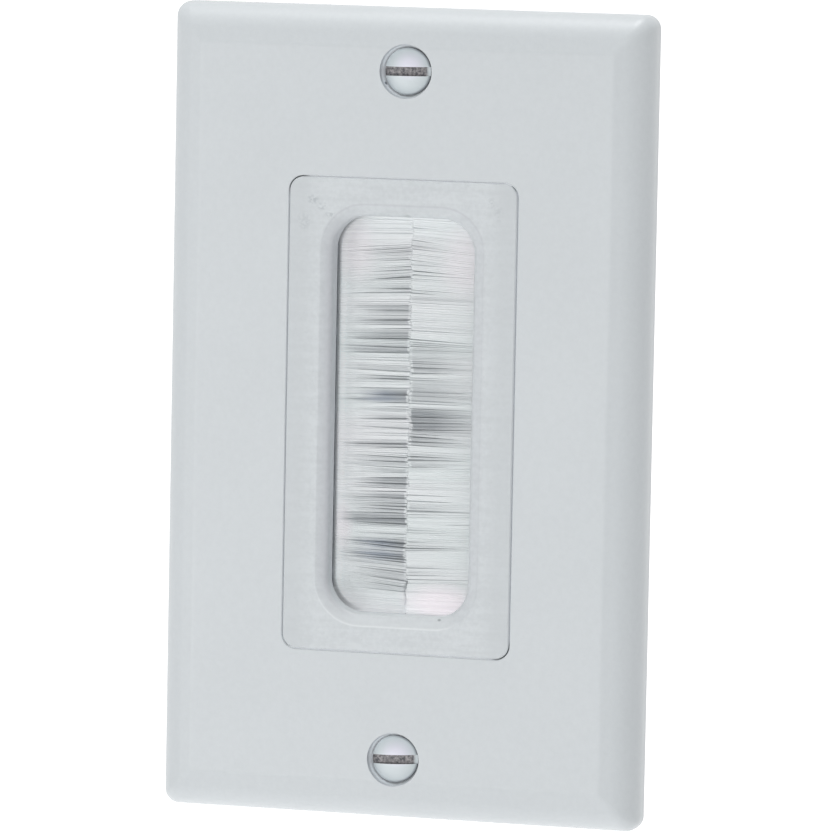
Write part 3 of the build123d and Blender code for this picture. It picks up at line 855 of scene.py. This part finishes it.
def inOrder(partings, end):
    # Sorted up the brush, with roots moved so that no two cross or crowd the strands between them
    least, most = brushSetup["rootSteps"]
    ordered = []
    lastRoot = lastTip = -end
    for rootZ, tipZ, width, start, reach in sorted(partings, key=lambda parting: parting[1]):
        step = tipZ - lastTip
        lastRoot = max(lastRoot + step * least, min(lastRoot + step * most, rootZ))
        lastTip = tipZ
        ordered.append((lastRoot, tipZ, width, start, reach))
    return ordered


def addRandom(draw, partings, kind, end):
    # More partings, which lean like those beside them
    roots = [-end] + [parting[0] for parting in partings] + [end]
    tips = [-end] + [parting[1] for parting in partings] + [end]
    more = []
    for index in range(kind["count"]):
        z = draw.uniform(-end, end)
        width = draw.uniform(brushSetup["narrowest"], kind["widest"])
        start = draw.uniform(0, brushSetup["latestStart"])
        reach = draw.uniform(brushSetup["shallowest"], kind["deepest"])
        more.append((z, between(z, roots, tips), width, start, reach))
    return inOrder(partings + more, end)


def laneTable(partings, share, level, end):
    # Where strands lie at one share of their length, with the open partings left clear
    roots, places = [-end], [-end]
    step = brushSetup["partingRoot"]
    for rootZ, tipZ, width, start, reach in partings:
        middle = rootZ + (tipZ - rootZ) * share
        half = 0
        if level < reach * brushSetup["partingDepth"] and share > start:
            half = width / 2 * ((share - start) / (1 - start)) ** brushSetup["partingCurve"]
        low = max(middle - half, places[-1])
        roots += [rootZ - step, rootZ + step]
        places += [low, max(middle + half, low)]
    return roots + [end], places + [end]


seamDraw = Random(brushSetup["seamSeed"])
seamSteps = [seamDraw.uniform(-1, 1) for step in range(brushSetup["seamSteps"])]


def seamAt(z, depth):
    # The uneven line where the tips of both brushes meet
    waves = brushSetup["seamWaves"]
    swing = sum(math.sin(z * along + depth * inward) for along, inward in waves) / len(waves)
    alongPitch, inwardPitch = brushSetup["jagPitch"]
    jag = seamSteps[int(z * alongPitch + depth * inwardPitch) % len(seamSteps)]
    return brushSetup["seamSwing"] * swing + brushSetup["seamJags"] * jag


def patchShade(patches, fade, z, share):
    # How much painted shade the loose patches put on a strand at one share of its length
    total = 0
    for middle, half, start, strength in patches:
        near = max(0, 1 - abs(z - middle) / half)
        across = min(1, near * brushSetup["patchEdge"])
        along = max(0, min(1, (share - start) / fade))
        total += strength * across * along
    return min(1, total)


def layerStrands(draw, layer, body):
    # Strands of one layer, each as places along it and how light it is there
    depth = brushSetup["depths"][layer]
    count = brushSetup["counts"][layer]
    end = body["end"]
    partings = body["front"] if depth <= 0 else body["rear"]
    lanes = [laneTable(partings, share, 1 - abs(depth), end) for share in brushSetup["shares"]]
    strands = []
    for index in range(count):
        rootZ = ((index + draw.uniform(*brushSetup["laneSpread"])) / count * 2 - 1) * end
        tipZ = between(rootZ, *lanes[-1])
        apart = tipZ < nylonLook["openBelow"]
        tip = brushSetup["openGap"] if apart else -brushSetup["tipOverlap"] * draw.random()
        tip += body["sign"] * seamAt(tipZ, depth)
        level = depth + draw.gauss(0, brushSetup["depthSpread"])
        light = brushSetup["lights"][layer] * draw.uniform(*brushSetup["lightSpread"])
        greyed = draw.uniform(*brushSetup["greySpread"]) if depth < brushSetup["greyBefore"] else 0
        tipLight = 0 if apart else draw.uniform(*brushSetup["tipLight"])
        wander = draw.gauss(0, brushSetup["wander"])
        late = draw.uniform(*brushSetup["patchStarts"])
        pinched = level * brushSetup["rootPinch"] * brushSetup["mouthThickness"] / 2
        places = [(body["rootX"], pinched, rootZ)]
        rootLight = max(light, brushSetup["rootLight"])
        lights = [rootLight]
        for share, (roots, lane) in zip(brushSetup["shares"], lanes):
            thickness = brushSetup["mouthThickness"] * (1 - share) + brushSetup["tipThickness"] * share
            x = body["mouthX"] + (tip - body["mouthX"]) * share
            z = between(rootZ, roots, lane) + wander * share
            places.append((x, level * thickness / 2, max(-end, min(end, z))))
            shown = rootLight if share < brushSetup["rootUntil"] else light
            shown *= 1 - min(1, greyed * patchShade(body["patches"], body["fade"], tipZ, share - late))
            lights.append(max(shown, tipLight) if share > brushSetup["tipFrom"] else shown)
        strands.append((places, lights))
    return strands


def makeBrush(sideName):
    side = sides[sideName]
    draw = Random(side["seed"])
    nodeName = sideName + "_bristles"
    low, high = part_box(nodeName)
    end = high.z / mm - brushSetup["radius"] * brushSetup["endMargin"]
    front = inOrder(side["partings"], end)
    middleY = (low.y + high.y) / 2 / mm
    channelLow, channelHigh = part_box(sideName + "_brush_channel")
    wireLow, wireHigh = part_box(sideName + "_core_wire")
    body = {
        "sign": side["sign"],
        "patches": side["patches"],
        "fade": side["fade"],
        "end": end,
        "mouthX": min(abs(channelLow.x), abs(channelHigh.x)) / mm,
        "rootX": abs(wireLow.x + wireHigh.x) / 2 / mm,
        "front": addRandom(draw, front, brushSetup["finePartings"], end),
        "rear": addRandom(draw, [], brushSetup["rearPartings"], end),
    }
    curve = bpy.data.curves.new(sideName + "Brush", "CURVE")
    curve.dimensions = "3D"
    curve.bevel_depth = brushSetup["radius"] * mm
    curve.bevel_resolution = 0
    lights = []
    for layer in range(len(brushSetup["depths"])):
        for places, levels in layerStrands(draw, layer, body):
            spline = curve.splines.new("POLY")
            spline.points.add(len(places) - 1)
            for point, (x, y, z) in zip(spline.points, places):
                point.co = (side["sign"] * x * mm, (middleY + y) * mm, z * mm, 1)
            lights.extend(levels)
    brush = bpy.data.objects.new(sideName + "Brush", curve)
    bpy.context.collection.objects.link(brush)
    pickOnly(brush)
    bpy.ops.object.convert(target="MESH")
    brush = bpy.context.object
    corners = len(brush.data.vertices) // len(lights)
    attribute = brush.data.attributes.new("strandLight", "FLOAT", "POINT")
    attribute.data.foreach_set("value", [light for light in lights for corner in range(corners)])
    closeEnds(corners)
    brush.data.materials.clear()
    brush.data.materials.append(nylon)
    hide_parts(nodeName)
    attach(brush, "root")
    print(sideName, "brush:", len(brush.data.vertices), "vertices,", corners, "round each point")


for sideName in sides:
    makeBrush(sideName)


# Threads of the long screws: a coil on a slim core, under the head of the solid. Mm and degrees.
threadSetup = {
    "pitch": 0.794,
    "baseShare": 0.49,
    "crest": 1.74,
    "core": 1.32,
    "root": 1.26,
    "steps": 20,
    "coreSides": 24,
    "coreBevel": 0.25,
    "coreBevelAngle": 60,
    "tipMargin": 0.3,
    "weld": 0.001,
    "edgeAngle": 50,
    "edgeBevel": 0.045,
    "smoothAngle": 35,
}
threadedScrews = {
    "upper_plate_screw": {"start": -2.4, "slot": "painted_screw", "finish": upperPaint},
    "lower_plate_screw": {"start": -2.4, "slot": "painted_screw", "finish": lowerPaint},
    "upper_mounting_screw": {"start": 1.4, "slot": "zinc_screw", "finish": zincPlate},
    "lower_mounting_screw": {"start": 1.4, "slot": "zinc_screw", "finish": zincPlate},
}


def cutHead(nodeName, start, turn, axisZ):
    # The solid's head, without its plain shank, turned as it was left by the screwdriver
    head = bpy.data.objects.new(nodeName + "Threaded", nodes[nodeName].data.copy())
    bpy.context.collection.objects.link(head)
    pickOnly(head)
    bpy.ops.mesh.customdata_custom_splitnormals_clear()
    bpy.ops.object.mode_set(mode="EDIT")
    bpy.ops.mesh.select_all(action="SELECT")
    bpy.ops.mesh.remove_doubles(threshold=threadSetup["weld"] * mm)
    bpy.ops.mesh.bisect(plane_co=(0, start * mm, 0), plane_no=(0, 1, 0), use_fill=True, clear_outer=True)
    if turn:
        bpy.ops.mesh.select_all(action="SELECT")
        middle = (0, 0, axisZ * mm)
        bpy.ops.transform.rotate(value=math.radians(turn), orient_axis="Y", center_override=middle)
        bpy.ops.mesh.select_all(action="DESELECT")
        bpy.ops.mesh.edges_select_sharp(sharpness=math.radians(threadSetup["edgeAngle"]))
        bpy.ops.mesh.bevel(offset=threadSetup["edgeBevel"] * mm, segments=2, clamp_overlap=True)
    bpy.ops.object.mode_set(mode="OBJECT")
    return head


def addCore(axisZ, start, end):
    bpy.ops.object.select_all(action="DESELECT")
    bpy.ops.mesh.primitive_cylinder_add(
        vertices=threadSetup["coreSides"],
        radius=threadSetup["core"] * mm,
        depth=(end - start) * mm,
        location=(0, (start + end) / 2 * mm, axisZ * mm),
        rotation=(math.pi / 2, 0, 0),
    )
    core = bpy.context.object
    bevel = core.modifiers.new("ends", "BEVEL")
    bevel.width = threadSetup["coreBevel"] * mm
    bevel.segments = 1
    bevel.limit_method = "ANGLE"
    bevel.angle_limit = math.radians(threadSetup["coreBevelAngle"])
    bpy.ops.object.modifier_apply(modifier=bevel.name)
    bpy.ops.object.transform_apply(location=True, rotation=True, scale=True)
    return core


def addCoil(axisZ, start, end):
    # A three-cornered profile wound up the core. With a radius of 1 it is 1.5 high.
    height = threadSetup["crest"] - threadSetup["root"]
    halfBase = threadSetup["pitch"] * threadSetup["baseShare"]
    radius = height / 1.5
    turns = int((end - start - 2 * halfBase - threadSetup["tipMargin"]) / threadSetup["pitch"])
    bpy.ops.object.select_all(action="DESELECT")
    bpy.ops.mesh.primitive_circle_add(vertices=3, radius=1, fill_type="NOTHING")
    coil = bpy.context.object
    coil.rotation_euler = (0, 0, -math.pi / 2)
    coil.scale = (halfBase / math.sin(math.pi / 3) * mm, radius * mm, mm)
    coil.location = ((threadSetup["crest"] - radius) * mm, 0, 0)
    bpy.ops.object.transform_apply(location=True, rotation=True, scale=True)
    winding = coil.modifiers.new("winding", "SCREW")
    winding.axis = "Y"
    winding.screw_offset = threadSetup["pitch"] * mm
    winding.iterations = turns
    winding.steps = threadSetup["steps"]
    winding.render_steps = threadSetup["steps"]
    bpy.ops.object.modifier_apply(modifier=winding.name)
    closeEnds(3)
    coil.location = (0, (start + halfBase) * mm, axisZ * mm)
    bpy.ops.object.transform_apply(location=True, rotation=True, scale=True)
    return coil


def makeScrew(nodeName, setup):
    low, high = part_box(nodeName)
    axisZ = (low.z + high.z) / 2 / mm
    end = high.y / mm
    turn = screwLook["turns"].get(nodeName, 0)
    head = cutHead(nodeName, setup["start"], turn, axisZ)
    core = addCore(axisZ, setup["start"], end)
    coil = addCoil(axisZ, setup["start"], end)
    pickOnly(head)
    core.select_set(True)
    coil.select_set(True)
    bpy.ops.object.join()
    bpy.ops.object.shade_smooth_by_angle(angle=math.radians(threadSetup["smoothAngle"]))
    head.data.materials.clear()
    head.data.materials.append(setup["finish"])
    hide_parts(nodeName)
    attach(head, "root")
    print(nodeName, "threaded:", len(head.data.polygons), "faces")


for nodeName, setup in threadedScrews.items():
    makeScrew(nodeName, setup)


# Stage: a plain pale floor well below the plate, soft lamps and an even surround. Metres and watts.
stageSetup = {
    "floorDrop": 0.3,
    "floorSize": 40.0,
    "floorColour": (0.8, 0.8, 0.8, 1),
    "floorRoughness": 0.9,
    "floorGlow": 0.23,
    "floorSeen": 0.6,
    "surround": 0.497,
}
lamps = {
    "overhead": {"at": (0.0, -0.3, 1.8), "size": 1.0, "power": 10.5},
    "overheadBack": {"at": (0.0, 0.22, 1.8), "size": 0.9, "power": 9.2},
    "front": {"at": (-0.15, -1.25, -0.1), "size": 0.4, "power": 1.0},
    "leftFront": {"at": (-0.46, -0.74, -0.13), "size": 0.4, "power": 1.2},
    "right": {"at": (1.3, -0.2, 0.2), "size": 0.8, "power": 0.35},
}


def seenDirectly(shade):
    # 1 where the camera sees the background, straight or mirrored in a piece
    straight = shade.node("ShaderNodeLightPath", output="Is Camera Ray")
    mirrored = Shade(shade.tree, straight.socket.node.outputs["Is Glossy Ray"])
    return shade.maths("MAXIMUM", straight, mirrored)


def addFloor():
    low, high = cadBox
    bpy.ops.object.select_all(action="DESELECT")
    floorZ = low.z - stageSetup["floorDrop"]
    bpy.ops.mesh.primitive_plane_add(size=stageSetup["floorSize"], location=(0, 0, floorZ))
    floor = bpy.context.object
    floor.name = "floor"
    material, shade = newMaterial("floorPale")
    finishMaterial(shade, {
        "Base Color": stageSetup["floorColour"],
        "Roughness": stageSetup["floorRoughness"],
        "Emission Color": stageSetup["floorGlow"] + seenDirectly(shade) * stageSetup["floorSeen"],
        "Emission Strength": 1.0,
    })
    floor.data.materials.append(material)


def addLamps():
    for name, lamp in lamps.items():
        bpy.ops.object.light_add(type="AREA", location=lamp["at"])
        light = bpy.context.object
        light.name = name
        light.data.shape = "DISK"
        light.data.size = lamp["size"]
        light.data.energy = lamp["power"]
        light.rotation_euler = (-Vector(lamp["at"])).to_track_quat("-Z", "Y").to_euler()


def addSurround():
    world = bpy.data.worlds.new("surround")
    bpy.context.scene.world = world
    world.use_nodes = True
    world.node_tree.nodes.clear()
    shade = Shade(world.node_tree)
    seen = seenDirectly(shade)
    strength = stageSetup["surround"] + seen * (1 - stageSetup["surround"])
    light = shade.node("ShaderNodeBackground", None, {"Color": (1, 1, 1, 1), "Strength": strength})
    shade.node("ShaderNodeOutputWorld", None, {"Surface": light})


addFloor()
addLamps()
addSurround()
print("stage set")
